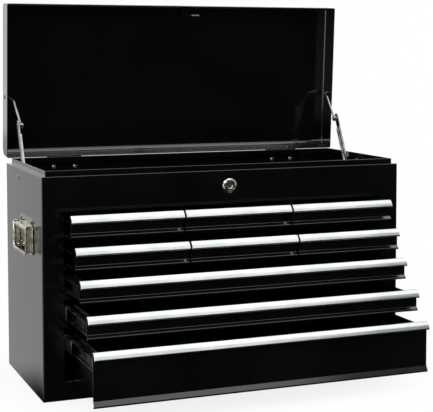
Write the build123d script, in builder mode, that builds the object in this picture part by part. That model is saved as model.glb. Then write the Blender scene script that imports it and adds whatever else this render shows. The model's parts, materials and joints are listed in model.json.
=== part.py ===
"""Machinist tool chest: a folded-steel top chest with nine drawers under a lidded till.

Millimetres, +Z up, +X to the right, the front faces -Y, origin at the centre of the base.
The chest stands as it was photographed: lid open and drawers pulled out in steps.
"""

from build123d import *
from math import cos, hypot, radians, sin
import os

# ---- driving dimensions ----
WIDTH = 610  # over the side panels, the nominal 24 in
DEPTH = 258  # front sheet to back sheet
LEDGE_Z = 345  # height of the ledge that the lid closes on
HALF = WIDTH / 2
FRONT = -DEPTH / 2
BACK = DEPTH / 2
LEDGE = 7.5  # width of the ledge
LIP_RISE = 8.5  # raised lip inside the ledge
LIP_SHEET = 1.6  # the lip is a hem of doubled sheet
LIP_CREST = 0.7  # rounding along the top of the lip
SHEET = 1.0  # steel sheet
STILE = 33.5  # front sheet on each side of the drawers
RETURN = 15  # flanges at the stiles and the back corners
FOLD = 1.6  # outer radius of the sheets' bends
TIGHT_FOLD = 0.2  # the stile's bend at the opening, flush with the rails' ends
LEDGE_ROUND = 0.9  # rounding of the ledge's outer edge
RAIL_DEPTH = 12  # face rails, front to back
POST_INSETS = (16, 59)  # front posts behind the front, rear posts ahead of the back
POST_WIDTH = 24

ROWS = 5
SMALL_ROWS = 2  # upper rows of three drawers; the rows under them have one
COLUMNS = 3
ROW_TOP = LEDGE_Z - 55.5  # top edge of the highest drawer fronts
ROW_PITCH = 44.7
SHALLOW_FRONT = 33.7  # height of all but the lowest front
DEEP_BOTTOM = 30.7  # lower edge of the lowest, deep front
SHUT_GAP = 1.0  # between a front and the sheet around it
REST_OUT = (38, 63, 88, 127, 159)  # how far each row stands out in the photograph
TRAY_DEPTH = 240  # front to back of a drawer
TRAY_FOOT = 2.0  # tray bottom above the front's lower edge
TRAY_HEAD = 4.0  # tray walls below the front's top edge
KICK = 4.5  # how far the lower edge of a front kicks out
KICK_RISE = (6.6, 6.6, 6.6, 6.6, 9.8)
KICK_EDGE = 2.2  # upright strip at the bottom of the kick
KICK_BENDS = (2.0, 1.6, 1.2)  # radii of its three bends, from the top

PULL_SHEET = 1.2  # bright pull strip along the top of each front
PULL_LEAN = 9.8  # how far its lower edge stands forward
PULL_DROP = 12.0
PULL_CREST = 0.8  # level strip ahead of the front, before the slope
PULL_TURN = 1.8  # upright edge where the slope ends
PULL_HEM = 2.4  # turned-in lower edge
PULL_INSET = 0.6  # its corner, behind the foremost edge
PULL_BENDS = (1.4, 1.3, 0.4)  # radii of its bends, from the top

SLIDE = 12.7  # one ball-bearing slide, from the opening's edge to the tray
SLIDE_BELOW = 22.0  # middle of a slide below the front's top edge
SLIDE_HEIGHT = 24.6  # cabinet member
SLIDE_REACH = 9.9  # depth of the cabinet member
MEMBER_GAP = 0.5  # between one slide member and the next
MEMBER_INSETS = (19, -5, -36)  # where each intermediate member starts, behind the front
MEMBER_LENGTH = 170
DRAWER_MEMBER_LENGTH = 200
DRAWER_MEMBER_REACH = 8.7
RAIL_INSET = 2  # cabinet members and fixed rails, behind the front
SMALL_RAIL_INSET = 20
RAIL_BACK_INSET = 26  # and ahead of the back

OPEN_ANGLE = 86.3  # the lid stands leaning a little forward
LID_DEPTH = 38
HINGE_RISE = 6.3  # hinge line above the ledge
LID_RIM = -5.7  # rim below the hinge line, with the lid shut
LID_OVERHANG = 3.0  # beyond the front, with the lid shut
LID_REAR_BEND = 15
LID_FRONT_BEND = 6
LID_SIDE_BEND = 3
HINGE_INSET = 100  # middle of each hinge, from the chest's side
HINGE_BOLT_X = 18.5  # bolts on each side of it
HINGE_BOLT_Z = LEDGE_Z - 9
HINGE_LID_BOLT_Z = 12  # above the hinge line, with the lid shut
LEAF_WIDTH = 60
LEAF_MARGIN = 8  # leaf beyond its bolts
LEAF_SHEET = 1.2
LEAF_RELIEF = 0.4  # leaf edge to the other leaf's knuckles
KNUCKLE = 2.6  # outer radius of the barrel
HINGE_PIN = 1.25
BOLT_HEAD = 4.0
BOLT_HEAD_RISE = 2.2
BOLT_DOME = 2.0  # rounding of the bolts' heads
BOLT_NUT = 3.6
BOLT_NUT_RISE = 3.0
RIVET = 2.0  # radius of the small holes

STAY_BASE = (BACK - 91, LEDGE_Z - 14.5)  # y and z of the pivot on the side panel
STAY_ELBOW = (BACK - 50, LEDGE_Z + 66.2)
STAY_TOP = (BACK + 12, LEDGE_Z + 111.7)  # pivot on the lid's side flange
STAY_SHEET = 1.2
STAY_WIDTH = 12
STAY_PIVOT = 2.5
STAY_WIRE = 1.8  # radius of the upper rod
BAR_INSET = 9.5  # outer face of the lower link, from the chest's side
BAR_FLANGE = 3.2
BAR_TONGUE = 10  # beyond the elbow
BAR_PLAIN = 18  # from the elbow down to where the flanges start
ROD_INSET = 15  # axis of the upper rod, from the chest's side
ROD_KNEE = (11.5, 118.0, 450.0)  # inset, y and z of the rod's bend near the lid
ROD_BEND = 4
STAY_SHOULDER = 9  # straight wire inside the lid's flange ends here, outside the rod's axis
ROD_EYE = 4.8
ROD_EYE_RISE = 3.9
WIRE_HEAD = 3.2
WIRE_HEAD_RISE = 1.2
ELBOW_HEAD = (3.6, 1.8)  # radius and rise of the elbow rivet's domed head
ELBOW_ROUND = 1.6
BASE_HEAD = (4.5, 1.3)  # radius and rise of the lower pivot's head, outside
BASE_COLLAR = 5  # radius of its collar, between the panel and the link
BASE_TAIL = (4.0, 1.5)

LOCK_Z = LEDGE_Z - 25
LOCK_BEZEL = 12.25
BEZEL_RISE = 2.6
LOCK_BARREL = 9.5
LOCK_PLUG = 8.0
LOCK_DEPTH = 17  # from the front to where the plug ends and the cam turns
LOCK_NUT = (13.0, 3.0)  # half of its width over the flats, and its height
PLUG_CHAMFER = 0.6
KEY_SLOT = (2.0, 9.0)
KEY_DEPTH = 8.0
CAM_REACH = 18
CAM_WIDTH = 9
CAM_SHEET = 2.0
STRIKE_X = 18  # middle of the strike, beside the lock's barrel
STRIKE_HALF = 7
STRIKE_SHEET = 1.5
STRIKE_TOP = 24  # above the hinge line, where it meets the lid's flange
STRIKE_SHELF = 11  # height at which it bends inward
STRIKE_BEHIND = 6  # from the plug's end forward to its leg
STRIKE_BELOW = 8  # its foot below the plug's axis
STRIKE_FOOT = 8

GRIP_Y = -25  # middle of each side handle
GRIP_PLATE = (84, 223, 273)  # width, lower and upper edge
GRIP_CORNER = 6  # radius of the plate's corners
GRIP_RIVETS = (72, 40)  # spacing of the plate's rivets
GRIP_RIVET_HEAD = (3.5, 1.5)  # radius and rise, outside
GRIP_RIVET_TAIL = (3.0, 1.2)
GRIP_SHEET = 1.5
GRIP_BARREL = 4.5
GRIP_PIN = 2.0
GRIP_PIVOT_Z = 257.5
GRIP_DEPTH = 13  # bail, away from the side
GRIP_GAP = 0.5  # bail to side panel
GRIP_BOTTOM = 216.5
GRIP_REACH = 48  # half of the bail's width
BAIL_BEND = 3

FIT = 0.1  # radial clearance of the turning pairs
SLIP = 0.3  # gap between parts that slide or pass each other

# ---- values worked out from them ----
OPENING = HALF - STILE
ROW_TOPS = [ROW_TOP - row * ROW_PITCH for row in range(ROWS)]
ROW_BOTTOMS = [top - SHALLOW_FRONT for top in ROW_TOPS[:-1]] + [DEEP_BOTTOM]
HEADER_Z = ROW_TOP + SHUT_GAP
TILL_Z = HEADER_Z + SHEET
FACE_RAIL_BACK = FRONT + RAIL_DEPTH
LIP_X = HALF - LEDGE
LIP_Y = BACK - LEDGE
COLUMN_HALF = (2 * OPENING - (COLUMNS - 1) * SHEET) / COLUMNS / 2
COLUMN_X = [(column - 1) * (2 * COLUMN_HALF + SHEET) for column in range(COLUMNS)]
HINGE_Y = BACK + KNUCKLE
HINGE_Z = LEDGE_Z + HINGE_RISE
HINGE_X = HALF - HINGE_INSET
POST_FRONTS = (FRONT + POST_INSETS[0], BACK - POST_INSETS[1])
RAIL_FRONT = FRONT + RAIL_INSET
SMALL_RAIL_FRONT = FRONT + SMALL_RAIL_INSET
RAIL_BACK = BACK - RAIL_BACK_INSET
BAR_X = HALF - BAR_INSET
ROD_X = HALF - ROD_INSET
LOCK_BACK = FRONT + LOCK_DEPTH
LID_FRONT = FRONT - LID_OVERHANG
GRIP_MIDDLE_Z = (GRIP_PLATE[1] + GRIP_PLATE[2]) / 2
GRIP_PIVOT_X = HALF + GRIP_GAP + GRIP_DEPTH / 2

hinge_frame = Plane((0, HINGE_Y, HINGE_Z))
lid_frame = Plane(
    origin=hinge_frame.origin,
    x_dir=(1, 0, 0),
    z_dir=(0, sin(radians(OPEN_ANGLE)), cos(radians(OPEN_ANGLE))),
)
lid_side = Plane(origin=lid_frame.origin, x_dir=lid_frame.y_dir, z_dir=(1, 0, 0))


def in_lid(point):
    """A place (y, z) on the open chest, in the shut lid's own y and z."""
    local = lid_frame.to_local_coords(Vector(0, *point))
    return local.Y, local.Z


def save(part, name):
    part.label = name
    export_step(part, f"parts/{name}.step")


def slab(xs, ys, zs, mode=Mode.ADD):
    """A block between two values on each axis of the part's own plane."""
    middle = ((xs[0] + xs[1]) / 2, (ys[0] + ys[1]) / 2, (zs[0] + zs[1]) / 2)
    with Locations(middle):
        Box(abs(xs[1] - xs[0]), abs(ys[1] - ys[0]), abs(zs[1] - zs[0]), mode=mode)


def fold(outline, sheet=SHEET, bends=FOLD):
    """Section of a bent sheet: the outline is its outer face, the metal lies to its left."""
    with BuildSketch() as section:
        with BuildLine():
            FilletPolyline(*outline, radius=bends)
            offset(amount=sheet, side=Side.LEFT)
        make_face()
    return section.sketch


def mirrored(part):
    with BuildPart() as copy:
        mirror(part, about=Plane.YZ)
    return copy.part


# ---- the body's sheets ----
def side_panel():
    """Left side in one sheet with its front stile, and with its ledge and lip."""
    with BuildPart() as panel:
        with BuildSketch():
            add(
                fold(
                    [
                        (-HALF, BACK),
                        (-HALF, FRONT),
                        (-OPENING, FRONT),
                        (-OPENING, FRONT + RETURN),
                    ],
                    bends=(FOLD, TIGHT_FOLD),
                )
            )
        extrude(amount=LEDGE_Z)
        level = (LEDGE_Z - SHEET, LEDGE_Z)
        slab((-LIP_X, -OPENING + SHEET), (FRONT, FRONT + RETURN), level, mode=Mode.SUBTRACT)
        slab((-HALF + SHEET / 2, -LIP_X), (FRONT + SHEET / 2, BACK), level)
        ledge = panel.faces().sort_by(Axis.Z)[-1]
        rim = [e for e in ledge.edges() if e.center().X < -LIP_X and e.center().Y < BACK]
        fillet(rim, LEDGE_ROUND)
        lip = (-LIP_X, -LIP_X + LIP_SHEET)
        slab(lip, (-LIP_Y, LIP_Y), (LEDGE_Z - SHEET, LEDGE_Z + LIP_RISE))
        crest = panel.edges().filter_by(Axis.Y).group_by(Axis.Z)[-1]
        fillet(crest, LIP_CREST)
        with BuildSketch(Plane.YZ.offset(-HALF)):
            with Locations(STAY_BASE):
                Circle(STAY_PIVOT)
            with Locations((GRIP_Y, GRIP_MIDDLE_Z)):
                with GridLocations(*GRIP_RIVETS, 2, 2):
                    Circle(RIVET)
        extrude(amount=SHEET, mode=Mode.SUBTRACT)
    return panel.part


def crosswise_lip(outer, inner):
    """Ledge and lip along the front or the back, between the side panels' own."""
    ends = (-LIP_X, LIP_X)
    inside = (-LIP_X + LIP_SHEET, LIP_X - LIP_SHEET)
    hem = inner - LIP_SHEET if inner > 0 else inner + LIP_SHEET
    slab(ends, (outer, inner), (LEDGE_Z - SHEET, LEDGE_Z))
    slab(inside, (inner, hem), (LEDGE_Z - SHEET, LEDGE_Z + LIP_RISE))


def back_panel():
    """Back sheet with side flanges, ledge, lip and the holes of the hinge bolts."""
    flank = HALF - SHEET
    with BuildPart() as panel:
        with BuildSketch():
            add(
                fold(
                    [
                        (flank, BACK - RETURN),
                        (flank, BACK),
                        (-flank, BACK),
                        (-flank, BACK - RETURN),
                    ]
                )
            )
        extrude(amount=LEDGE_Z - SHEET)
        crosswise_lip(BACK, LIP_Y)
        crest = panel.edges().filter_by(Axis.X).group_by(Axis.Z)[-1]
        fillet(crest, LIP_CREST)
        with BuildSketch(Plane.XZ.offset(-BACK)):
            with Locations((-HINGE_X, HINGE_BOLT_Z), (HINGE_X, HINGE_BOLT_Z)):
                with GridLocations(2 * HINGE_BOLT_X, 1, 2, 1):
                    Circle(RIVET)
        extrude(amount=SHEET, mode=Mode.SUBTRACT)
    return panel.part


def level_sheet(low):
    """A level sheet between the panels, notched round the flanges at the four corners."""
    flank = HALF - SHEET
    level = (low, low + SHEET)
    with BuildPart() as sheet:
        slab((-flank, flank), (FRONT + FOLD, BACK - FOLD), level)
        fillet(sheet.edges().filter_by(Axis.Z), SHEET)
        for side in (-1, 1):
            stile_flange = (side * OPENING, side * (OPENING + SHEET))
            back_flange = (side * (flank - SHEET), side * flank)
            slab(stile_flange, (FRONT + SHEET, FRONT + RETURN), level, mode=Mode.SUBTRACT)
            slab(back_flange, (BACK - RETURN, BACK - SHEET), level, mode=Mode.SUBTRACT)
    return sheet.part


def front_header():
    """Front sheet above the drawers, with ledge, lip and the hole of the lock."""
    with BuildPart() as header:
        with BuildSketch(Plane.YZ):
            add(fold([(FRONT, LEDGE_Z - SHEET), (FRONT, HEADER_Z), (FACE_RAIL_BACK, HEADER_Z)]))
        extrude(amount=OPENING, both=True)
        crosswise_lip(FRONT, -LIP_Y)
        crest = header.edges().filter_by(Axis.X).group_by(Axis.Z)[-1]
        fillet(crest, LIP_CREST)
        rim = header.edges().filter_by(Axis.X).sort_by_distance((0, FRONT, LEDGE_Z))[0]
        fillet(rim, LEDGE_ROUND)
        with BuildSketch(Plane.XZ.offset(-FRONT)):
            with Locations((0, LOCK_Z)):
                Circle(LOCK_BARREL + FIT)
        extrude(amount=-SHEET, mode=Mode.SUBTRACT)
    return header.part


def face_rails():
    """The four rails across the front, each a channel between two rows of fronts."""
    with BuildPart() as rails:
        for below, above in zip(ROW_TOPS[1:], ROW_BOTTOMS):
            low = below + SHUT_GAP
            high = above - SHUT_GAP
            with BuildSketch(Plane.YZ):
                add(
                    fold(
                        [
                            (FACE_RAIL_BACK, high),
                            (FRONT, high),
                            (FRONT, low),
                            (FACE_RAIL_BACK, low),
                        ]
                    )
                )
            extrude(amount=OPENING, both=True)
    return rails.part


def bottom_rail():
    with BuildPart() as rail:
        with BuildSketch(Plane.YZ):
            top = DEEP_BOTTOM - SHUT_GAP
            add(fold([(FACE_RAIL_BACK, top), (FRONT, top), (FRONT, 0)]))
        extrude(amount=OPENING, both=True)
    return rail.part


def partitions():
    """Two upright sheets between the columns of small drawers."""
    foot = ROW_BOTTOMS[SMALL_ROWS - 1] - SHUT_GAP
    with BuildPart() as sheets:
        for side in (-1, 1):
            faces = (side * COLUMN_HALF, side * (COLUMN_HALF + SHEET))
            slab(faces, (FACE_RAIL_BACK, BACK - SHEET), (foot, TILL_Z))
    return sheets.part


def slide_posts():
    """Four upright channels that carry the slides beside the drawer openings."""
    with BuildPart() as posts:
        for side in (-1, 1):
            face = side * OPENING
            wall = side * (HALF - SHEET)
            for front in POST_FRONTS:
                back = front + POST_WIDTH
                slab((face, face + side * SHEET), (front, back), (SHEET, TILL_Z))
                slab((face, wall), (front, front + SHEET), (SHEET, TILL_Z))
                slab((face, wall), (back - SHEET, back), (SHEET, TILL_Z))
    return posts.part


# ---- slides ----
def channel(face, inward, reach, height, middle, ys):
    """A slide member: a web on the plane x = face, with flanges reaching inward."""
    edge = face + inward * reach
    slab((face, face + inward * SHEET), ys, (middle - height / 2, middle + height / 2))
    for side in (-1, 1):
        outer = middle + side * height / 2
        slab((face, edge), ys, (outer, outer - side * SHEET))


def small_drawer_rails():
    """Fixed rails of the six small drawers, on the posts and the partitions."""
    ys = (SMALL_RAIL_FRONT, RAIL_BACK)
    with BuildPart() as rails:
        for top in ROW_TOPS[:SMALL_ROWS]:
            middle = top - SLIDE_BELOW
            for centre in COLUMN_X:
                for side in (-1, 1):
                    face = centre + side * COLUMN_HALF
                    channel(face, -side, SLIDE_REACH, SLIDE_HEIGHT, middle, ys)
    return rails.part


def wide_drawer_rails():
    """Cabinet members of the three wide drawers' slides."""
    ys = (RAIL_FRONT, RAIL_BACK)
    with BuildPart() as rails:
        for top in ROW_TOPS[SMALL_ROWS:]:
            middle = top - SLIDE_BELOW
            for side in (-1, 1):
                channel(side * OPENING, -side, SLIDE_REACH, SLIDE_HEIGHT, middle, ys)
    return rails.part


def intermediate_members(row):
    """The pair of members that travel half as far as their drawer."""
    front = FRONT + MEMBER_INSETS[row - SMALL_ROWS]
    ys = (front, front + MEMBER_LENGTH)
    middle = ROW_TOPS[row] - SLIDE_BELOW
    face = OPENING - SHEET - MEMBER_GAP
    reach = SLIDE_REACH - SHEET - 2 * MEMBER_GAP
    height = SLIDE_HEIGHT - 2 * (SHEET + MEMBER_GAP)
    with BuildPart() as members:
        for side in (-1, 1):
            channel(side * face, -side, reach, height, middle, ys)
    return members.part


def drawer_members(row):
    """The pair of members fixed to the sides of a wide drawer."""
    front = FRONT - REST_OUT[row] + 2 * SHEET + SLIP
    ys = (front, front + DRAWER_MEMBER_LENGTH)
    middle = ROW_TOPS[row] - SLIDE_BELOW
    height = SLIDE_HEIGHT - 4 * (SHEET + MEMBER_GAP)
    with BuildPart() as members:
        for side in (-1, 1):
            channel(side * (OPENING - SLIDE), side, DRAWER_MEMBER_REACH, height, middle, ys)
    return members.part


# ---- drawers ----
def drawer_tray(row, centre, half_opening):
    """Tray and folded front in one piece; a small drawer has its own side runners."""
    front = FRONT - REST_OUT[row]
    bottom = ROW_BOTTOMS[row]
    top = ROW_TOPS[row]
    half_tray = half_opening - SLIDE
    inner_half = half_tray - SHEET
    floor = bottom + TRAY_FOOT
    head = top - TRAY_HEAD
    near = front + SHEET
    far = front + TRAY_DEPTH
    with BuildPart() as tray:
        slab((centre - half_tray, centre + half_tray), (near, far), (floor, head))
        slab(
            (centre - inner_half, centre + inner_half),
            (near + SHEET, far - SHEET),
            (floor + SHEET, head),
            mode=Mode.SUBTRACT,
        )
        with BuildSketch(Plane.YZ.offset(centre)):
            add(
                fold(
                    [
                        (front, top - PULL_SHEET),
                        (front, bottom + KICK_RISE[row]),
                        (front - KICK, bottom + KICK_EDGE),
                        (front - KICK, bottom),
                        (near, bottom),
                    ],
                    bends=KICK_BENDS,
                )
            )
        extrude(amount=half_opening - SHUT_GAP, both=True)
        if row < SMALL_ROWS:
            height = SLIDE_HEIGHT - 2 * (SHEET + SLIP)
            ys = (SMALL_RAIL_FRONT - REST_OUT[row], far)
            for side in (-1, 1):
                face = centre + side * half_tray
                channel(face, side, SLIDE - 2 * SHEET, height, top - SLIDE_BELOW, ys)
    return tray.part


def drawer_pull(row, centre, half_opening):
    """Bright strip on the front's top edge, leaning forward to a rolled lower edge."""
    front = FRONT - REST_OUT[row]
    top = ROW_TOPS[row]
    hem = top - PULL_DROP
    with BuildPart() as pull:
        with BuildSketch(Plane.YZ.offset(centre)):
            add(
                fold(
                    [
                        (front + SHEET, top),
                        (front - PULL_CREST, top),
                        (front - PULL_LEAN, hem + PULL_TURN),
                        (front - PULL_LEAN + PULL_INSET, hem),
                        (front - PULL_LEAN + PULL_INSET + PULL_HEM, hem),
                    ],
                    PULL_SHEET,
                    PULL_BENDS,
                )
            )
        extrude(amount=half_opening - SHUT_GAP, both=True)
    return pull.part


# ---- lid and hinges, in the lid's own plane ----
def lid_block(inset):
    """The lid's outer form, drawn in from its top and sides and past its rim by inset."""
    rear = BACK - HINGE_Y - inset
    front = LID_FRONT - HINGE_Y + inset
    rim = LID_RIM - inset
    crown = LID_RIM + LID_DEPTH - inset
    outward = Axis(origin=lid_frame.origin, direction=lid_frame.z_dir)
    with BuildPart() as block:
        with BuildSketch(lid_side):
            with BuildLine():
                FilletPolyline(
                    (rear, rim),
                    (rear, crown),
                    (front, crown),
                    (front, rim),
                    radius=[LID_REAR_BEND - inset, LID_FRONT_BEND - inset],
                )
                Line((front, rim), (rear, rim))
            make_face()
        extrude(amount=HALF - inset, both=True)
        mouth = block.faces().sort_by(outward)[0]
        end_edges = block.faces().filter_by(Axis.X).edges()
        fillet([edge for edge in end_edges if not lies_in(edge, mouth)], LID_SIDE_BEND - inset)
    return block.part


def lid_shell():
    """Drawn lid: a flat top with flanges all round, open at its rim."""
    with BuildPart() as lid:
        add(lid_block(0))
        add(lid_block(SHEET), mode=Mode.SUBTRACT)
        with BuildSketch(lid_side):
            with Locations(in_lid(STAY_TOP)):
                Circle(RIVET)
        extrude(amount=HALF + SHEET, both=True, mode=Mode.SUBTRACT)
        rear_plane = Plane(lid_frame.origin, x_dir=(1, 0, 0), z_dir=-lid_frame.y_dir)
        with BuildSketch(rear_plane):
            with Locations((-HINGE_X, HINGE_LID_BOLT_Z), (HINGE_X, HINGE_LID_BOLT_Z)):
                with GridLocations(2 * HINGE_BOLT_X, 1, 2, 1):
                    Circle(RIVET)
        extrude(amount=2 * KNUCKLE, mode=Mode.SUBTRACT)
    return lid.part


def lies_in(edge, face):
    """Whether an edge lies in the plane of a flat face."""
    return abs((edge.center() - face.center()).dot(face.normal_at())) < FIT


def along_x(x, y=0, z=0):
    """A place with its own z along the part's x axis."""
    return Locations(Location((x, y, z), (0, 90, 0)))


def knuckle_spans(first):
    """Ends of every second fifth of the two hinge barrels."""
    fifth = LEAF_WIDTH / 5
    lows = [-LEAF_WIDTH / 2 + index * fifth for index in range(first, 5, 2)]
    return [
        (side * HINGE_X + low + SLIP / 2, side * HINGE_X + low + fifth - SLIP / 2)
        for side in (-1, 1)
        for low in lows
    ]


def hinge_leaves(frame, first, up, reach):
    """Two leaves and their knuckles, in a plane whose origin is on the hinge line."""
    plate = (-KNUCKLE, -KNUCKLE + LEAF_SHEET)
    near = up * (KNUCKLE + LEAF_RELIEF)
    with BuildPart(frame) as leaves:
        for side in (-1, 1):
            middle = side * HINGE_X
            slab((middle - LEAF_WIDTH / 2, middle + LEAF_WIDTH / 2), plate, (near, up * reach))
        for low, high in knuckle_spans(first):
            slab((low, high), plate, (0, near))
            with along_x((low + high) / 2):
                Cylinder(KNUCKLE, high - low)
                Cylinder(HINGE_PIN + FIT, high - low, mode=Mode.SUBTRACT)
        for side in (-1, 1):
            for shift in (-HINGE_BOLT_X, HINGE_BOLT_X):
                height = HINGE_BOLT_Z - HINGE_Z if up < 0 else HINGE_LID_BOLT_Z
                with Locations(Location((side * HINGE_X + shift, -KNUCKLE, height), (90, 0, 0))):
                    Cylinder(RIVET, 4 * LEAF_SHEET, mode=Mode.SUBTRACT)
    return leaves.part


def hinge_pins():
    with BuildPart(hinge_frame) as pins:
        for side in (-1, 1):
            with along_x(side * HINGE_X):
                Cylinder(HINGE_PIN, LEAF_WIDTH)
    return pins.part


def hinge_bolts(frame, height):
    """Four bolts: domed heads inside the sheet, hexagon nuts outside the leaf."""
    inner = -KNUCKLE - SHEET
    outer = -KNUCKLE + LEAF_SHEET
    with BuildPart(frame) as bolts:
        for side in (-1, 1):
            for shift in (-HINGE_BOLT_X, HINGE_BOLT_X):
                x = side * HINGE_X + shift
                with Locations(Location((x, inner, height), (90, 0, 0))):
                    Cylinder(BOLT_HEAD, BOLT_HEAD_RISE, align=(Align.CENTER, Align.CENTER, Align.MIN))
                with Locations(Location((x, inner, height), (-90, 0, 0))):
                    Cylinder(
                        RIVET - FIT,
                        outer - inner + BOLT_NUT_RISE + SHEET,
                        align=(Align.CENTER, Align.CENTER, Align.MIN),
                    )
                with Locations(Location((x, outer, height), (-90, 0, 0))):
                    Cylinder(BOLT_NUT, BOLT_NUT_RISE, align=(Align.CENTER, Align.CENTER, Align.MIN))
        inward = Axis(origin=frame.origin, direction=frame.y_dir)
        fillet(bolts.faces().sort_by(inward)[:4].edges(), BOLT_DOME)
    return bolts.part


def lock_strike():
    """Bent plate inside the lid's front flange; its foot goes under the lock's cam."""
    flange = LID_FRONT - HINGE_Y + SHEET
    leg = LOCK_BACK - HINGE_Y - STRIKE_BEHIND
    foot = LOCK_Z - HINGE_Z - STRIKE_BELOW
    with BuildPart() as strike:
        with BuildSketch(lid_side.offset(STRIKE_X)):
            add(
                fold(
                    [
                        (flange, STRIKE_TOP),
                        (flange, STRIKE_SHELF),
                        (leg, STRIKE_SHELF),
                        (leg, foot),
                        (leg + STRIKE_FOOT, foot),
                    ],
                    STRIKE_SHEET,
                    2 * STRIKE_SHEET,
                )
            )
        extrude(amount=STRIKE_HALF, both=True)
    return strike.part


# ---- lid stays ----
def stay_bar():
    """Left lower link: a flat tongue at the elbow, stiffened by two flanges below it."""
    run = (STAY_ELBOW[0] - STAY_BASE[0], STAY_ELBOW[1] - STAY_BASE[1])
    length = hypot(*run)
    base = (-BAR_X, *STAY_BASE)
    frame = Plane(origin=base, x_dir=(0, *run), z_dir=(1, 0, 0))
    half = STAY_WIDTH / 2
    with BuildPart(frame) as bar:
        with BuildSketch(frame):
            with Locations(((length + BAR_TONGUE - half) / 2, 0)):
                SlotOverall(length + BAR_TONGUE + half, STAY_WIDTH)
            Circle(STAY_PIVOT, mode=Mode.SUBTRACT)
            with Locations((length, 0)):
                Circle(RIVET, mode=Mode.SUBTRACT)
        extrude(amount=STAY_SHEET)
        for side in (-1, 1):
            slab((0, length - BAR_PLAIN), (side * half, side * (half - STAY_SHEET)), (0, BAR_FLANGE))
    return bar.part


def stay_rod():
    """Left upper link: a wire that hooks through the lid's flange, with an eye at the elbow."""
    outside = Vector(-HALF - WIRE_HEAD_RISE, *STAY_TOP)
    bend = Vector(-ROD_X - STAY_SHOULDER, *STAY_TOP)
    knee = Vector(ROD_KNEE[0] - HALF, *ROD_KNEE[1:])
    elbow = Vector(-ROD_X, *STAY_ELBOW)
    with BuildPart() as rod:
        with BuildLine() as route:
            FilletPolyline(outside, bend, knee, elbow, radius=ROD_BEND)
        with BuildSketch(Plane(origin=outside, z_dir=(1, 0, 0))):
            Circle(STAY_WIRE)
        sweep()
        with along_x(-HALF - WIRE_HEAD_RISE / 2, *STAY_TOP):
            Cylinder(WIRE_HEAD, WIRE_HEAD_RISE)
        with along_x(-ROD_X, *STAY_ELBOW):
            Cylinder(ROD_EYE, ROD_EYE_RISE)
            Cylinder(RIVET, 4 * STAY_WIRE, mode=Mode.SUBTRACT)
    return rod.part


def stay_rivet():
    """Left elbow rivet: it turns with the rod, and its foot stands off the bar's tongue."""
    foot = -BAR_X + STAY_SHEET + SLIP
    eye = -ROD_X - ROD_EYE_RISE / 2
    head = -ROD_X + ROD_EYE_RISE / 2
    with BuildPart() as rivet:
        with BuildSketch(Plane.YZ.offset(foot)):
            with Locations(STAY_ELBOW):
                Circle(RIVET + SHEET)
        extrude(amount=eye - foot)
        with BuildSketch(Plane.YZ.offset(foot)):
            with Locations(STAY_ELBOW):
                Circle(RIVET - FIT)
        extrude(amount=head - foot)
        with BuildSketch(Plane.YZ.offset(head)):
            with Locations(STAY_ELBOW):
                Circle(ELBOW_HEAD[0])
        extrude(amount=ELBOW_HEAD[1])
        fillet(rivet.faces().sort_by(Axis.X)[-1].edges(), ELBOW_ROUND)
    return rivet.part


def stay_base_rivets():
    """Shouldered rivets on which the lower links turn, one in each side panel."""
    bar_back = -BAR_X - SLIP
    bar_front = -BAR_X + STAY_SHEET + SLIP
    steps = [
        (-HALF - BASE_HEAD[1], -HALF, BASE_HEAD[0]),
        (-HALF, -HALF + SHEET, STAY_PIVOT - FIT),
        (-HALF + SHEET, bar_back, BASE_COLLAR),
        (bar_back, bar_front, STAY_PIVOT - FIT),
        (bar_front, bar_front + BASE_TAIL[1], BASE_TAIL[0]),
    ]
    with BuildPart() as rivet:
        for low, high, radius in steps:
            with along_x((low + high) / 2, *STAY_BASE):
                Cylinder(radius, high - low)
        mirror(about=Plane.YZ)
    return rivet.part


# ---- lock ----
def lock_housing():
    with BuildPart() as housing:
        with Locations(Location((0, FRONT, LOCK_Z), (90, 0, 0))):
            Cylinder(LOCK_BEZEL, BEZEL_RISE, align=(Align.CENTER, Align.CENTER, Align.MIN))
        chamfer(housing.faces().sort_by(Axis.Y)[0].edges(), BEZEL_RISE / 2)
        with Locations(Location((0, FRONT, LOCK_Z), (-90, 0, 0))):
            Cylinder(
                LOCK_BARREL,
                LOCK_BACK - SHEET - FRONT,
                align=(Align.CENTER, Align.CENTER, Align.MIN),
            )
        with Locations(Location((0, FRONT, LOCK_Z), (90, 0, 0))):
            Cylinder(LOCK_PLUG + FIT / 2, 4 * (LOCK_BACK - FRONT), mode=Mode.SUBTRACT)
    return housing.part


def lock_nut():
    with BuildPart() as nut:
        with BuildSketch(Plane.XZ.offset(-FRONT - SHEET)):
            with Locations((0, LOCK_Z)):
                RegularPolygon(LOCK_NUT[0], 6, major_radius=False)
                Circle(LOCK_BARREL + FIT / 2, mode=Mode.SUBTRACT)
        extrude(amount=-LOCK_NUT[1])
    return nut.part


def lock_plug():
    """Plug with its key slot, flush with the bezel."""
    with BuildPart() as plug:
        with BuildSketch(Plane.XZ.offset(-LOCK_BACK)):
            with Locations((0, LOCK_Z)):
                Circle(LOCK_PLUG)
        extrude(amount=LOCK_BACK - FRONT + BEZEL_RISE)
        chamfer(plug.faces().sort_by(Axis.Y)[0].edges(), PLUG_CHAMFER)
        with BuildSketch(Plane.XZ.offset(-FRONT + BEZEL_RISE)):
            with Locations((0, LOCK_Z)):
                Rectangle(*KEY_SLOT)
        extrude(amount=-KEY_DEPTH, mode=Mode.SUBTRACT)
    return plug.part


def lock_cam():
    """Cam on the plug's back end, pointing up while the lock is open."""
    with BuildPart() as cam:
        with BuildSketch(Plane.XZ.offset(-LOCK_BACK)):
            with Locations((0, LOCK_Z + CAM_REACH / 2)):
                SlotCenterToCenter(CAM_REACH, CAM_WIDTH, rotation=90)
        extrude(amount=-CAM_SHEET)
    return cam.part


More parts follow.
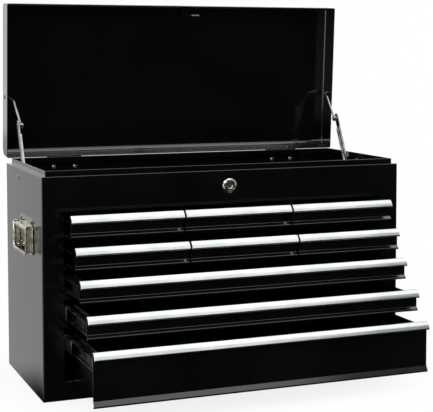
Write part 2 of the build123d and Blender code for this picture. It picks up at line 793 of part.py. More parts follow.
# ---- side handles ----
def handle_plate():
    """Left plate with the rolled barrel that the bail hangs on."""
    width, low, high = GRIP_PLATE
    with BuildPart() as plate:
        with BuildSketch(Plane.YZ.offset(-HALF)):
            with Locations((GRIP_Y, GRIP_MIDDLE_Z)):
                RectangleRounded(width, high - low, GRIP_CORNER)
                with GridLocations(*GRIP_RIVETS, 2, 2):
                    Circle(RIVET, mode=Mode.SUBTRACT)
        extrude(amount=-GRIP_SHEET)
        with BuildSketch(Plane.XZ.offset(-GRIP_Y)):
            with Locations((-GRIP_PIVOT_X, GRIP_PIVOT_Z)):
                Circle(GRIP_BARREL)
            with Locations(((-GRIP_PIVOT_X - HALF - GRIP_SHEET) / 2, GRIP_PIVOT_Z)):
                Rectangle(GRIP_PIVOT_X - HALF - GRIP_SHEET, 2 * GRIP_BARREL)
            with Locations((-GRIP_PIVOT_X, GRIP_PIVOT_Z)):
                Circle(GRIP_PIN + FIT / 2, mode=Mode.SUBTRACT)
        extrude(amount=width / 2, both=True)
    return plate.part


def handle_bail():
    """Left bail: a sheet channel bent to a U, its flanges facing outward all round."""
    outer_x = -HALF - GRIP_GAP - GRIP_DEPTH
    inner_x = -HALF - GRIP_GAP
    inside = GRIP_PLATE[0] / 2 + SLIP
    web = GRIP_SHEET
    flange = GRIP_REACH - inside
    top = GRIP_PIVOT_Z + GRIP_DEPTH / 2
    with BuildPart() as bail:
        bail_loop(outer_x, GRIP_DEPTH, inside, web, flange - web, top)
        bail_loop(outer_x, web, inside, flange, 0, top)
        bail_loop(inner_x - web, web, inside, flange, 0, top)
        with BuildSketch(Plane.XZ.offset(-GRIP_Y)):
            with Locations((-GRIP_PIVOT_X, GRIP_PIVOT_Z)):
                Circle(GRIP_DEPTH / 2)
            with Locations((-GRIP_PIVOT_X, (GRIP_PIVOT_Z + GRIP_BOTTOM) / 2)):
                Rectangle(GRIP_DEPTH, GRIP_PIVOT_Z - GRIP_BOTTOM)
        extrude(amount=GRIP_REACH, both=True, mode=Mode.INTERSECT)
        with BuildSketch(Plane.XZ.offset(-GRIP_Y)):
            with Locations((-GRIP_PIVOT_X, GRIP_PIVOT_Z)):
                Circle(GRIP_PIN + FIT)
        extrude(amount=GRIP_REACH, both=True, mode=Mode.SUBTRACT)
    return bail.part


def bail_loop(x, depth, inside, thick, raised, top):
    """One U-shaped layer of the bail, open upward; raised lifts it off the lower edge."""
    low = GRIP_BOTTOM + raised
    with BuildSketch(Plane.YZ.offset(x)) as loop:
        with BuildLine():
            FilletPolyline(
                (GRIP_Y - inside - thick, top),
                (GRIP_Y - inside - thick, low),
                (GRIP_Y + inside + thick, low),
                (GRIP_Y + inside + thick, top),
                radius=thick + BAIL_BEND,
            )
            Line((GRIP_Y + inside + thick, top), (GRIP_Y + inside, top))
            FilletPolyline(
                (GRIP_Y + inside, top),
                (GRIP_Y + inside, low + thick),
                (GRIP_Y - inside, low + thick),
                (GRIP_Y - inside, top),
                radius=BAIL_BEND,
            )
            Line((GRIP_Y - inside, top), (GRIP_Y - inside - thick, top))
        make_face()
    extrude(loop.sketch, amount=depth)


def handle_pins():
    with BuildPart() as pins:
        with BuildSketch(Plane.XZ.offset(-GRIP_Y)):
            with Locations((-GRIP_PIVOT_X, GRIP_PIVOT_Z), (GRIP_PIVOT_X, GRIP_PIVOT_Z)):
                Circle(GRIP_PIN)
        extrude(amount=GRIP_REACH, both=True)
    return pins.part


def handle_rivets():
    """Eight rivets through the plates and the side panels."""
    plate = -HALF - GRIP_SHEET
    wall = -HALF + SHEET
    steps = [
        (plate - GRIP_RIVET_HEAD[1], plate, GRIP_RIVET_HEAD[0]),
        (plate, wall, RIVET - FIT),
        (wall, wall + GRIP_RIVET_TAIL[1], GRIP_RIVET_TAIL[0]),
    ]
    with BuildPart() as rivets:
        for low, high, radius in steps:
            with BuildSketch(Plane.YZ.offset(low)):
                with Locations((GRIP_Y, GRIP_MIDDLE_Z)):
                    with GridLocations(*GRIP_RIVETS, 2, 2):
                        Circle(radius)
            extrude(amount=high - low)
        mirror(about=Plane.YZ)
    return rivets.part


# ---- the pieces ----
os.makedirs("parts", exist_ok=True)

left_panel = side_panel()
save(left_panel, "left_side_panel")
save(mirrored(left_panel), "right_side_panel")
save(back_panel(), "back_panel")
save(level_sheet(0), "bottom_panel")
save(front_header(), "front_header")
save(level_sheet(TILL_Z), "till_floor")
save(face_rails(), "face_rails")
save(bottom_rail(), "bottom_rail")
save(partitions(), "partitions")
save(slide_posts(), "slide_posts")
save(small_drawer_rails(), "small_drawer_rails")
save(wide_drawer_rails(), "wide_drawer_rails")

for row in range(ROWS):
    if row >= SMALL_ROWS:
        name = f"row{row + 1}_drawer"
        save(drawer_tray(row, 0, OPENING), f"{name}_tray")
        save(drawer_pull(row, 0, OPENING), f"{name}_pull")
        save(drawer_members(row), f"{name}_slides")
        save(intermediate_members(row), f"row{row + 1}_intermediate_slides")
    else:
        for column, centre in zip(("left", "middle", "right"), COLUMN_X):
            name = f"row{row + 1}_{column}_drawer"
            save(drawer_tray(row, centre, COLUMN_HALF), f"{name}_tray")
            save(drawer_pull(row, centre, COLUMN_HALF), f"{name}_pull")

save(lid_shell(), "lid_shell")
save(hinge_leaves(hinge_frame, 0, -1, HINGE_Z - HINGE_BOLT_Z + LEAF_MARGIN), "hinge_body_leaves")
save(hinge_leaves(lid_frame, 1, 1, HINGE_LID_BOLT_Z + LEAF_MARGIN), "hinge_lid_leaves")
save(hinge_pins(), "hinge_pins")
save(hinge_bolts(hinge_frame, HINGE_BOLT_Z - HINGE_Z), "hinge_body_bolts")
save(hinge_bolts(lid_frame, HINGE_LID_BOLT_Z), "hinge_lid_bolts")
save(lock_strike(), "lock_strike")

for build_piece, name in ((stay_bar, "stay_bar"), (stay_rod, "stay_rod"), (stay_rivet, "stay_rivet")):
    piece = build_piece()
    save(piece, f"left_{name}")
    save(mirrored(piece), f"right_{name}")
save(stay_base_rivets(), "stay_base_rivets")

save(lock_housing(), "lock_housing")
save(lock_nut(), "lock_nut")
save(lock_plug(), "lock_plug")
save(lock_cam(), "lock_cam")

for build_piece, name in ((handle_plate, "handle_plate"), (handle_bail, "handle_bail")):
    piece = build_piece()
    save(piece, f"left_{name}")
    save(mirrored(piece), f"right_{name}")
save(handle_pins(), "handle_pins")
save(handle_rivets(), "handle_rivets")
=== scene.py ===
"""Machinist tool chest in black gloss enamel, lid open and drawers out in steps, in a white studio."""

import json
import math

import bmesh
import bpy
import numpy as np
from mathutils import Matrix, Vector


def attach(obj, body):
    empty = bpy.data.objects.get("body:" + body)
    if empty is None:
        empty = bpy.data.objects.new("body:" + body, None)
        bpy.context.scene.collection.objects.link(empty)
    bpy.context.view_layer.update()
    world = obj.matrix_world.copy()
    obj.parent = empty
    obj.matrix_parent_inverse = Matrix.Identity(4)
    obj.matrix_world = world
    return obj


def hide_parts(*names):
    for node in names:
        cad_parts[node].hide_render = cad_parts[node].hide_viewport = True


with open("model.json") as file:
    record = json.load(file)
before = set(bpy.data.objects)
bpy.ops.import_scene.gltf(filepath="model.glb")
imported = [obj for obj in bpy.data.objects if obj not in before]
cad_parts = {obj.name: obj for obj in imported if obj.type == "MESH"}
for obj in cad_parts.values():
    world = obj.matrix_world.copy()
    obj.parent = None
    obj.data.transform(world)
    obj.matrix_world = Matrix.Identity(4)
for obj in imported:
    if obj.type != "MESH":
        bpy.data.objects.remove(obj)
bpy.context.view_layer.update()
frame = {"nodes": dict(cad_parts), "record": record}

MM = 0.001
CABINET = "cabinet"
nodes = frame["nodes"]

# ---- sizes that the pieces share with the chest, in millimetres ----
FRONT_Y = -129.0
OPENING_HALF = 271.5  # the drawer opening, from the middle to a stile
COLUMN_GAP = 1.0
COLUMN_HALF = (2 * OPENING_HALF - 2 * COLUMN_GAP) / 6
COLUMN_PITCH = 2 * COLUMN_HALF + COLUMN_GAP
ROW_PITCH = 44.7
ROW_TOPS = [289.5 - ROW_PITCH * row for row in range(5)]
DRAWN_OUT = (38.0, 63.0, 88.0, 127.0, 159.0)
STRIP_THICKNESS = 1.2
STRIP_INSET = 1.0  # a strip ends this far inside its front's end
SLIDE_BELOW = 22.0  # from a front's top edge down to the middle of its slides
SLIDE_BACK_Y = 103.0
WIDE_RAIL_START = -127.0
SMALL_RAIL_START = -109.0
MEMBER_START = (-110.0, -134.0, -165.0)  # front ends of the middle members of rows 3 to 5
MEMBER_LENGTH = 170.0
DRAWER_SLIDE_LENGTH = 200.0
BEHIND_FRONT = 2.3  # where a drawer's own slide starts, behind its front
SLIDE_SHEET = 1.0
CABINET_CHANNEL = (9.9, 24.6)  # reach and height of each rolled channel
MEMBER_CHANNEL = (7.9, 21.6)
DRAWER_CHANNEL = (8.7, 18.6)
MEMBER_GAP = 1.5  # from the opening's edge to the middle member's web
SLIDE_WIDTH = 12.7
LOCK_Z = 320.0
REAR_SHEET_Y = 128.0
HINGE_X = 205.0
HINGE_BOLT_SHIFT = 18.5
HINGE_BOLT_Z = 336.0
GRIP_X, GRIP_Y, GRIP_Z = 312.0, -25.0, 257.5  # where a bail turns
EDGE_POINTS = 5  # inner points of the half circle on a sheet's edge


# ---- colours ----
def srgb(code, alpha=1.0):
    """sRGB hex to linear RGBA."""
    channels = [int(code[i : i + 2], 16) / 255 for i in (1, 3, 5)]
    return (*[c / 12.92 if c <= 0.04045 else ((c + 0.055) / 1.055) ** 2.4 for c in channels], alpha)


# ---- node trees ----
def node(tree, kind, inputs=None, **settings):
    """One node with its settings; an input takes a value, or a socket to link from. Stops are a
    colour ramp's (position, colour or grey level), eased from one to the next."""
    stops = settings.pop("stops", ())
    made = tree.nodes.new(kind)
    for key, value in settings.items():
        setattr(made, key, value)
    for key, value in (inputs or {}).items():
        if isinstance(value, bpy.types.NodeSocket):
            tree.links.new(value, made.inputs[key])
        else:
            made.inputs[key].default_value = value
    if stops:
        made.color_ramp.interpolation = "EASE"
        for element, (position, colour) in zip(made.color_ramp.elements, stops):
            element.position = position
            element.color = colour if isinstance(colour, tuple) else (colour, colour, colour, 1.0)
    return made


def finish_material(name, build, **fixed):
    """A Principled material: build adds the patterned inputs, fixed sets the plain ones."""
    material = bpy.data.materials.new(name)
    material.use_nodes = True
    tree = material.node_tree
    tree.nodes.clear()
    shader = node(tree, "ShaderNodeBsdfPrincipled", fixed)
    node(tree, "ShaderNodeOutputMaterial", {"Surface": shader.outputs["BSDF"]})
    place = node(tree, "ShaderNodeTexCoord").outputs["Object"]
    for key, socket in build(tree, place).items():
        tree.links.new(socket, shader.inputs[key])
    return material


def black_enamel(tree, place):
    """Baked gloss enamel: near black, faintly wavy from spraying, a little duller in patches."""
    peel = node(tree, "ShaderNodeTexNoise", {"Vector": place, "Scale": 1 / (6 * MM), "Detail": 2.0})
    haze = node(tree, "ShaderNodeTexNoise", {"Vector": place, "Scale": 1 / (90 * MM), "Detail": 4.0})
    bump = node(
        tree,
        "ShaderNodeBump",
        {"Height": peel.outputs["Fac"], "Strength": 0.04, "Distance": 0.3 * MM},
    )
    colour = node(
        tree,
        "ShaderNodeValToRGB",
        {"Fac": haze.outputs["Fac"]},
        stops=[(0.3, srgb("#030303")), (0.7, srgb("#060606"))],
    )
    rough = node(
        tree,
        "ShaderNodeValToRGB",
        {"Fac": haze.outputs["Fac"]},
        stops=[(0.3, 0.13), (0.7, 0.2)],
    )
    return {
        "Base Color": colour.outputs["Color"],
        "Roughness": rough.outputs["Color"],
        "Normal": bump.outputs["Normal"],
        "Coat Normal": bump.outputs["Normal"],
    }


def satin_aluminium(tree, place):
    """Aluminium sheet, brushed along its length and clear anodised: fine lines run along X."""
    lines = node(
        tree,
        "ShaderNodeMapping",
        {"Vector": place, "Scale": (4.0, 1 / (0.7 * MM), 1 / (0.7 * MM))},
    )
    brush = node(
        tree,
        "ShaderNodeTexNoise",
        {"Vector": lines.outputs["Vector"], "Scale": 1.0, "Detail": 3.0},
    )
    cloud = node(tree, "ShaderNodeTexNoise", {"Vector": place, "Scale": 1 / (45 * MM), "Detail": 2.0})
    bump = node(
        tree,
        "ShaderNodeBump",
        {"Height": brush.outputs["Fac"], "Strength": 0.12, "Distance": 0.1 * MM},
    )
    colour = node(
        tree,
        "ShaderNodeValToRGB",
        {"Fac": cloud.outputs["Fac"]},
        stops=[(0.35, srgb("#b8bcbd")), (0.65, srgb("#c6c9ca"))],
    )
    rough = node(
        tree,
        "ShaderNodeValToRGB",
        {"Fac": brush.outputs["Fac"]},
        stops=[(0.3, 0.16), (0.7, 0.28)],
    )
    return {
        "Base Color": colour.outputs["Color"],
        "Roughness": rough.outputs["Color"],
        "Normal": bump.outputs["Normal"],
    }


def bright_zinc(tree, place):
    """Zinc-plated pressed steel: bluish, with faint drawing lines and dulled patches."""
    patch = node(tree, "ShaderNodeTexNoise", {"Vector": place, "Scale": 1 / (14 * MM), "Detail": 3.0})
    grain = node(tree, "ShaderNodeTexNoise", {"Vector": place, "Scale": 1 / (0.8 * MM), "Detail": 1.0})
    bump = node(
        tree,
        "ShaderNodeBump",
        {"Height": grain.outputs["Fac"], "Strength": 0.1, "Distance": 0.05 * MM},
    )
    colour = node(
        tree,
        "ShaderNodeValToRGB",
        {"Fac": patch.outputs["Fac"]},
        stops=[(0.3, srgb("#8e9296")), (0.7, srgb("#babdbf"))],
    )
    rough = node(
        tree,
        "ShaderNodeValToRGB",
        {"Fac": patch.outputs["Fac"]},
        stops=[(0.3, 0.22), (0.7, 0.36)],
    )
    return {
        "Base Color": colour.outputs["Color"],
        "Roughness": rough.outputs["Color"],
        "Normal": bump.outputs["Normal"],
    }


def black_plating(tree, place):
    """Rolled slide steel with black electroplating and a film of grease: half gloss."""
    patch = node(tree, "ShaderNodeTexNoise", {"Vector": place, "Scale": 1 / (20 * MM), "Detail": 3.0})
    rolled = node(tree, "ShaderNodeMapping", {"Vector": place, "Scale": (1 / MM, 20.0, 1 / MM)})
    lines = node(tree, "ShaderNodeTexNoise", {"Vector": rolled.outputs["Vector"], "Scale": 1.0})
    bump = node(
        tree,
        "ShaderNodeBump",
        {"Height": lines.outputs["Fac"], "Strength": 0.1, "Distance": 0.05 * MM},
    )
    colour = node(
        tree,
        "ShaderNodeValToRGB",
        {"Fac": patch.outputs["Fac"]},
        stops=[(0.3, srgb("#4c4c4e")), (0.7, srgb("#767678"))],
    )
    rough = node(
        tree,
        "ShaderNodeValToRGB",
        {"Fac": patch.outputs["Fac"]},
        stops=[(0.3, 0.25), (0.7, 0.42)],
    )
    return {
        "Base Color": colour.outputs["Color"],
        "Roughness": rough.outputs["Color"],
        "Normal": bump.outputs["Normal"],
    }


def nickel_plate(tree, place):
    """Turned die casting, nickel plated: warm grey with fine rings round the lock's axis."""
    centred = node(
        tree,
        "ShaderNodeMapping",
        {"Vector": place, "Location": (0.0, 0.0, -LOCK_Z * MM), "Scale": (1.0, 0.0, 1.0)},
    )
    rings = node(
        tree,
        "ShaderNodeTexWave",
        {"Vector": centred.outputs["Vector"], "Scale": 1 / (3 * MM), "Distortion": 0.4},
        wave_type="RINGS",
        rings_direction="SPHERICAL",
    )
    patch = node(tree, "ShaderNodeTexNoise", {"Vector": place, "Scale": 1 / (8 * MM), "Detail": 2.0})
    bump = node(
        tree,
        "ShaderNodeBump",
        {"Height": rings.outputs["Fac"], "Strength": 0.08, "Distance": 0.05 * MM},
    )
    colour = node(
        tree,
        "ShaderNodeValToRGB",
        {"Fac": patch.outputs["Fac"]},
        stops=[(0.3, srgb("#c9c5bc")), (0.7, srgb("#dedad2"))],
    )
    rough = node(
        tree,
        "ShaderNodeValToRGB",
        {"Fac": patch.outputs["Fac"]},
        stops=[(0.3, 0.14), (0.7, 0.26)],
    )
    return {
        "Base Color": colour.outputs["Color"],
        "Roughness": rough.outputs["Color"],
        "Normal": bump.outputs["Normal"],
    }


def bright_chrome(tree, place):
    """Pressed steel, polished and chromed: clear reflections with a faint ripple from the press."""
    ripple = node(tree, "ShaderNodeTexNoise", {"Vector": place, "Scale": 1 / (9 * MM), "Detail": 1.0})
    bump = node(
        tree,
        "ShaderNodeBump",
        {"Height": ripple.outputs["Fac"], "Strength": 0.12, "Distance": 0.3 * MM},
    )
    colour = node(
        tree,
        "ShaderNodeValToRGB",
        {"Fac": ripple.outputs["Fac"]},
        stops=[(0.35, srgb("#b0ae9e")), (0.65, srgb("#d8d6c8"))],
    )
    rough = node(
        tree,
        "ShaderNodeValToRGB",
        {"Fac": ripple.outputs["Fac"]},
        stops=[(0.35, 0.06), (0.65, 0.13)],
    )
    return {
        "Base Color": colour.outputs["Color"],
        "Roughness": rough.outputs["Color"],
        "Normal": bump.outputs["Normal"],
    }


MATERIALS = {
    "black_enamel": finish_material(
        "black_enamel",
        black_enamel,
        **{
            "IOR": 1.5,
            "Specular IOR Level": 0.1,
            "Coat Weight": 1.0,
            "Coat Roughness": 0.14,
            "Coat IOR": 1.7,
        },
    ),
    "satin_aluminium": finish_material("satin_aluminium", satin_aluminium, Metallic=1.0),
    "zinc_steel": finish_material("bright_zinc", bright_zinc, Metallic=1.0),
    "black_zinc": finish_material("black_plating", black_plating, Metallic=1.0),
    "nickel": finish_material("nickel_plate", nickel_plate, Metallic=1.0),
    "chrome": finish_material("bright_chrome", bright_chrome, Metallic=1.0),
}
SLOT_OF = {part["node"]: part["material_slot"] for part in frame["record"]["subparts"]}

for name, obj in nodes.items():
    obj.data.materials.clear()
    obj.data.materials.append(MATERIALS[SLOT_OF[name]])


# ---- surfaces ----
def piece(name, grids, slot, body, stands_for=()):
    """One mesh from grids of points (rows, columns, xyz in mm); each grid says whether its
    rows and its columns close on themselves. Vertex (i, j) joins (i+1, j), (i+1, j+1), (i, j+1)."""
    verts, faces, start = [], [], 0
    for points, close_rows, close_columns in grids:
        rows, columns = points.shape[:2]
        index = start + np.arange(rows * columns).reshape(rows, columns)
        if close_rows:
            index = np.vstack([index, index[:1]])
        if close_columns:
            index = np.hstack([index, index[:, :1]])
        quads = np.stack([index[:-1, :-1], index[1:, :-1], index[1:, 1:], index[:-1, 1:]], axis=-1)
        faces.append(quads.reshape(-1, 4))
        verts.append(points.reshape(-1, 3))
        start += rows * columns
    mesh = bpy.data.meshes.new(name)
    mesh.from_pydata((np.vstack(verts) * MM).tolist(), [], np.vstack(faces).tolist())
    return placed(name, mesh, slot, body, stands_for)


def placed(name, mesh, slot, body, stands_for=()):
    """Closes doubled seams, turns the faces outward, and hangs the mesh on its body."""
    work = bmesh.new()
    work.from_mesh(mesh)
    bmesh.ops.remove_doubles(work, verts=work.verts, dist=0.002 * MM)
    bmesh.ops.dissolve_degenerate(work, edges=work.edges, dist=0.001 * MM)
    bmesh.ops.recalc_face_normals(work, faces=work.faces)
    work.to_mesh(mesh)
    work.free()
    mesh.materials.append(MATERIALS[slot])
    mesh.shade_smooth()
    mesh.set_sharp_from_angle(angle=math.radians(35))
    made = bpy.data.objects.new(name, mesh)
    bpy.context.scene.collection.objects.link(made)
    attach(made, body)
    if stands_for:
        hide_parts(*stands_for)
    return made


def rounded(corners, radii, steps=7):
    """A polyline whose inner corners become arcs: each arc starts and ends radius * tan(turn / 2)
    from its corner and is centred on the corner's bisector."""
    corners = np.asarray(corners, float)
    line = [corners[0]]
    for before, corner, after, radius in zip(corners, corners[1:], corners[2:], radii):
        a = (before - corner) / np.linalg.norm(before - corner)
        b = (after - corner) / np.linalg.norm(after - corner)
        half = math.acos(np.clip(a @ b, -1, 1)) / 2
        centre = corner + (a + b) / np.linalg.norm(a + b) * radius / math.sin(half)
        first = corner + a * radius / math.tan(half) - centre
        last = corner + b * radius / math.tan(half) - centre
        turn = math.acos(np.clip(first @ last / radius**2, -1, 1))
        share = np.linspace(0, 1, steps)[:, None]
        swept = np.sin((1 - share) * turn) * first + np.sin(share * turn) * last
        line.extend(centre + swept / math.sin(turn))
    line.append(corners[-1])
    return np.array(line)


def beside(line, distance):
    """The line moved sideways to its left by a distance, along the mean of its neighbours' normals."""
    along = np.gradient(line, axis=0)
    along /= np.linalg.norm(along, axis=1)[:, None]
    return line + distance * np.stack([-along[:, 1], along[:, 0]], axis=1)


def sheet_section(middle, thickness):
    """Closed section round a middle line: one side there, a half circle, the other side back, and
    another half circle."""
    angle = np.linspace(0, math.pi, EDGE_POINTS + 2)[1:-1, None]
    along = np.gradient(middle, axis=0)
    along /= np.linalg.norm(along, axis=1)[:, None]
    normal = np.stack([-along[:, 1], along[:, 0]], axis=1)
    half = thickness / 2
    far = middle[-1] + half * (np.cos(angle) * normal[-1] + np.sin(angle) * along[-1])
    near = middle[0] + half * (-np.cos(angle) * normal[0] - np.sin(angle) * along[0])
    return np.vstack([beside(middle, half), far, beside(middle, -half)[::-1], near])


def run_along(section, start, end, axis=0, edge=0.3):
    """A closed sheet section carried along an axis, drawn in a little at both ends and closed there
    by a strip from one rounded edge's tip to the other's, whose two rows are the sheet's two sides.
    The section's two columns are the other two coordinates, in order."""
    stations = np.array([start, start + edge, end - edge, end])
    inset = np.array([edge, 0.0, 0.0, edge])
    normals = np.roll(section, -1, axis=0) - np.roll(section, 1, axis=0)
    normals /= np.linalg.norm(normals, axis=1)[:, None]
    outward = np.stack([normals[:, 1], -normals[:, 0]], axis=1)
    ahead = np.roll(section, -1, axis=0)
    if np.sum(section[:, 0] * ahead[:, 1] - ahead[:, 0] * section[:, 1]) < 0:
        outward = -outward
    rings = [np.insert(section - outward * cut, axis, at, axis=1) for at, cut in zip(stations, inset)]
    grids = [(np.array(rings), False, True)]
    across = len(section) // 2 + 1
    for ring in (rings[0], rings[-1]):
        side = np.roll(ring, EDGE_POINTS // 2 + 1, axis=0)
        other = np.roll(side[::-1], 1, axis=0)
        grids.append((np.stack([side[:across], other[:across]]), False, False))
    return grids


# ---- pull strips: bright sheet folded over the front's top edge ----
def pull_strip(row, centre, half, body):
    """The strip's middle line: over the front's top edge, forward in a shallow curve, rolled in below."""
    front = FRONT_Y - DRAWN_OUT[row]
    top = ROW_TOPS[row]
    line = rounded(
        [
            (front + 0.9, top - 0.6),
            (front - 1.1, top - 0.6),
            (front - 6.0, top - 4.8),
            (front - 9.2, top - 10.1),
            (front - 8.6, top - 11.4),
            (front - 6.8, top - 11.4),
        ],
        [1.3, 9.0, 0.8, 0.5],
    )
    grids = run_along(sheet_section(line, STRIP_THICKNESS), centre - half, centre + half)
    piece(f"{body}_pull_strip", grids, "satin_aluminium", body, [f"{body}_pull"])


for row in range(5):
    if row < 2:
        for column, side in enumerate(("left", "middle", "right")):
            centre = (column - 1) * COLUMN_PITCH
            pull_strip(row, centre, COLUMN_HALF - STRIP_INSET, f"row{row + 1}_{side}_drawer")
    else:
        pull_strip(row, 0.0, OPENING_HALF - STRIP_INSET, f"row{row + 1}_drawer")


# ---- ball-bearing slides: rolled channels ----
def rolled_channel(face, inward, channel, row, span):
    """A channel with round corners: web at x = face, flanges reaching inward, its height centred on
    the row's slides, between two places on the y axis."""
    reach, height = channel
    middle = ROW_TOPS[row] - SLIDE_BELOW
    skin = SLIDE_SHEET / 2
    web = face + inward * skin
    edge = face + inward * (reach - skin)
    high, low = middle + height / 2 - skin, middle - height / 2 + skin
    line = rounded([(edge, high), (web, high), (web, low), (edge, low)], [2.2, 2.2])
    return run_along(sheet_section(line, SLIDE_SHEET), *span, axis=1, edge=0.25)


def channel_pair(half_gap, inward, channel, row, start, length, body):
    """The same channel at both sides of a wide drawer."""
    grids = []
    for side in (-1, 1):
        grids += rolled_channel(side * half_gap, side * inward, channel, row, (start, start + length))
    piece(f"{body}_rolled", grids, "black_zinc", body, [f"{body}_slides"])


fixed_channels = []
for row, start in zip((2, 3, 4), MEMBER_START):
    span = (WIDE_RAIL_START, SLIDE_BACK_Y)
    for side in (-1, 1):
        fixed_channels += rolled_channel(side * OPENING_HALF, -side, CABINET_CHANNEL, row, span)
    half_gap = OPENING_HALF - MEMBER_GAP
    channel_pair(half_gap, -1, MEMBER_CHANNEL, row, start, MEMBER_LENGTH, f"row{row + 1}_intermediate")
    half_gap = OPENING_HALF - SLIDE_WIDTH
    front = FRONT_Y - DRAWN_OUT[row] + BEHIND_FRONT
    channel_pair(half_gap, 1, DRAWER_CHANNEL, row, front, DRAWER_SLIDE_LENGTH, f"row{row + 1}_drawer")
piece("wide_drawer_rolled_rails", fixed_channels, "black_zinc", CABINET, ["wide_drawer_rails"])

fixed_channels = []
for row in (0, 1):
    span = (SMALL_RAIL_START, SLIDE_BACK_Y)
    for column in (-1, 0, 1):
        for side in (-1, 1):
            face = column * COLUMN_PITCH + side * COLUMN_HALF
            fixed_channels += rolled_channel(face, -side, CABINET_CHANNEL, row, span)
piece("small_drawer_rolled_rails", fixed_channels, "black_zinc", CABINET, ["small_drawer_rails"])


# ---- lock ----
def turned(profile, centre, axis=1, steps=48):
    """A profile of (radius, distance along the axis) turned round an axis through the centre: each
    point goes to radius * cos and radius * sin of the turn, with its distance kept."""
    turn = np.linspace(0, 2 * math.pi, steps, endpoint=False)
    radius, along = np.asarray(profile, float).T
    flat = np.stack([radius[:, None] * np.cos(turn), radius[:, None] * np.sin(turn)], axis=-1)
    return np.insert(flat, axis, along[:, None] + 0 * turn, axis=2) + np.asarray(centre)


def lock_bezel():
    """Ring with a rounded rim, dished toward the plug, and the barrel behind it."""
    rim = rounded(
        [(9.5, 0.0), (12.25, 0.0), (11.6, -1.3), (9.6, -2.5), (8.4, -2.55), (8.05, -2.0)],
        [0.3, 1.0, 1.2, 0.25],
        5,
    )
    profile = np.vstack([[(8.05, 16.0), (9.5, 16.0)], rim])
    grid = turned(profile, (0.0, FRONT_Y, LOCK_Z))
    piece("lock_bezel", [(grid, True, True)], "nickel", CABINET, ["lock_housing"])


def lock_face():
    """Plug: circles from its back round to its dished face, which then close in on the key slot,
    a superellipse |x / 0.8|^5 + |z / 2.8|^5 = 1 sunk by 6 mm."""
    turn = np.linspace(0, 2 * math.pi, 64, endpoint=False)
    loops = [
        np.stack([radius * np.cos(turn), 0 * turn + along, radius * np.sin(turn)], axis=1)
        for radius, along in (
            (0.0, 17.0), (8.0, 17.0), (8.0, -1.9), (7.8, -2.2), (7.4, -2.35), (6.6, -2.5), (5.6, -2.6),
            (4.9, -2.55), (4.4, -2.3), (3.7, -1.4),
        )
    ]
    slot_x = 0.8 * np.sign(np.cos(turn)) * np.abs(np.cos(turn)) ** 0.4
    slot_z = 2.8 * np.sign(np.sin(turn)) * np.abs(np.sin(turn)) ** 0.4
    for size, along in ((1.15, -1.3), (1.0, -1.2), (1.0, 5.0), (0.0, 5.0)):
        loops.append(np.stack([size * slot_x, 0 * turn + along, size * slot_z], axis=1))
    grid = np.array(loops) + (0.0, FRONT_Y, LOCK_Z)
    piece("lock_plug_face", [(grid, False, True)], "nickel", "lock_key_plug", ["lock_plug"])


lock_bezel()
lock_face()


# ---- pan-head bolts through the rear wall ----
def pan_bolts():
    """Heads inside the sheet, each a quarter ellipse 3.9 wide and 2.4 high turned round its axis,
    with shanks and nuts behind it."""
    profile = np.vstack([
        [(0.0, 6.2), (1.9, 6.2), (1.9, 5.2), (3.6, 5.2), (3.6, 2.2), (1.9, 2.2), (1.9, 0.0)],
        [(3.9 * math.cos(a), -2.4 * math.sin(a)) for a in np.linspace(0.0, math.pi / 2, 9)[:-1]],
        [(0.0, -2.4)],
    ])
    grids = []
    for side in (-1, 1):
        for shift in (-HINGE_BOLT_SHIFT, HINGE_BOLT_SHIFT):
            centre = (side * HINGE_X + shift, REAR_SHEET_Y, HINGE_BOLT_Z)
            grids.append((turned(profile, centre, steps=32), False, True))
    piece("rear_wall_pan_bolts", grids, "zinc_steel", CABINET, ["hinge_body_bolts"])


pan_bolts()


# ---- drop handles ----
def pressed_bail(side):
    """Channel with rolled edges carried round a U; each of its lines ends on the round of its
    arm, z = pivot + sqrt(6.5^2 - (x - pivot x)^2), and strips close the two ends."""
    arm_round, bend, lift_gap = 6.5, 3.0, 0.1
    lower, inside, reach = 216.5, 42.3, 48.0
    line = rounded([(4.7, -5.4), (1.1, -5.4), (1.1, 5.4), (4.7, 5.4)], [1.6, 1.6])
    section = sheet_section(line, 2.0)
    across, away = section[:, 1], section[:, 0]
    grid = []
    arm_top = GRIP_Z + np.sqrt(np.maximum(arm_round**2 - across**2, 0.0)) - lift_gap
    base_y = inside - bend
    base_z = lower + (reach - inside) + bend
    for share in np.linspace(1, 0, 6):
        z = base_z + share * (arm_top - base_z)
        grid.append(np.stack([across, -(inside + away), z], axis=1))
    for angle in np.linspace(0, math.pi / 2, 8)[1:]:
        y = -base_y - (bend + away) * np.cos(angle)
        z = base_z - (bend + away) * np.sin(angle)
        grid.append(np.stack([across, y, z], axis=1))
    half = np.array(grid)
    other = half[::-1] * (1.0, -1.0, 1.0)
    rings = np.vstack([half, other]) + (side * GRIP_X, GRIP_Y, 0.0)
    count = section.shape[0] // 2
    grids = [(rings, False, True)]
    for ring in (rings[0], rings[-1]):
        grids.append((np.stack([ring[:count], ring[::-1][:count]]), False, False))
    name = "left" if side < 0 else "right"
    piece(f"{name}_pressed_bail", grids, "chrome", f"{name}_handle", [f"{name}_handle_bail"])


pressed_bail(-1)
pressed_bail(1)


# ---- studio ----
WHITE = (1.0, 1.0, 1.0, 1.0)


